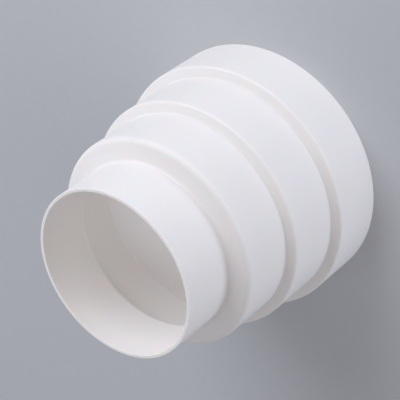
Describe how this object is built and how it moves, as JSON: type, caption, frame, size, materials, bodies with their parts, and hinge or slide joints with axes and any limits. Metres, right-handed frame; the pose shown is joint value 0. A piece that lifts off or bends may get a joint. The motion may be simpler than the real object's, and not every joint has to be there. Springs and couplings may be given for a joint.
{
  "type": "duct reducer",
  "caption": "Stepped round duct reducer, a single white plastic moulding whose collars join a wide round duct to narrower ones.",
  "frame": {"origin": "centre of the large collar's rim, on the surface that it stands on", "axes": "+Z along the airway, from the large end up to the mouth; X and Y are free, since the part is round"},
  "size_m": [0.149, 0.149, 0.1379],
  "materials": {
    "moulded_white_abs": "white ABS, satin as it leaves the mould"
  },
  "bodies": {
    "root": {"reducer_body": "moulded_white_abs"}
  },
  "joints": []
}
